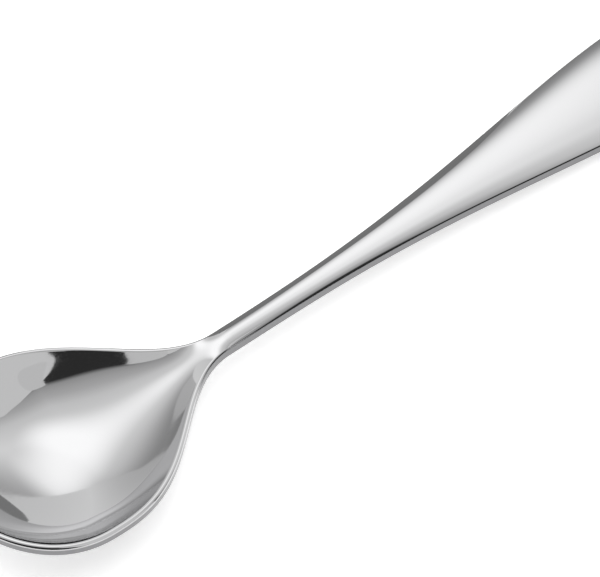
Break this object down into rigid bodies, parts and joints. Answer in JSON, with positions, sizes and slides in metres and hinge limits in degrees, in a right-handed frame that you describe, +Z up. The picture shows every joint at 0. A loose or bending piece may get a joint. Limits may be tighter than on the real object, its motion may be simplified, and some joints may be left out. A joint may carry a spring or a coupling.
{
  "type": "fruit spoon",
  "caption": "Mirror-polished steel fruit spoon with a deep, round-fronted bowl, a slim neck and a crowned handle that widens to a rounded end; it scoops and serves cut fruit.",
  "frame": {"origin": "on the table, under the middle of the spoon's length and width, with the spoon lying on the bottom of its bowl and on the underside of the handle's end", "axes": "+X from the bowl's tip to the handle's end, +Y across the spoon, +Z up, the way the bowl opens"},
  "size_m": [0.175, 0.042, 0.0118],
  "materials": {
    "bowl_steel": "mirror-polished stainless steel",
    "handle_steel": "mirror-polished stainless steel"
  },
  "bodies": {
    "root": {"bowl": "bowl_steel", "handle": "handle_steel"}
  },
  "joints": []
}
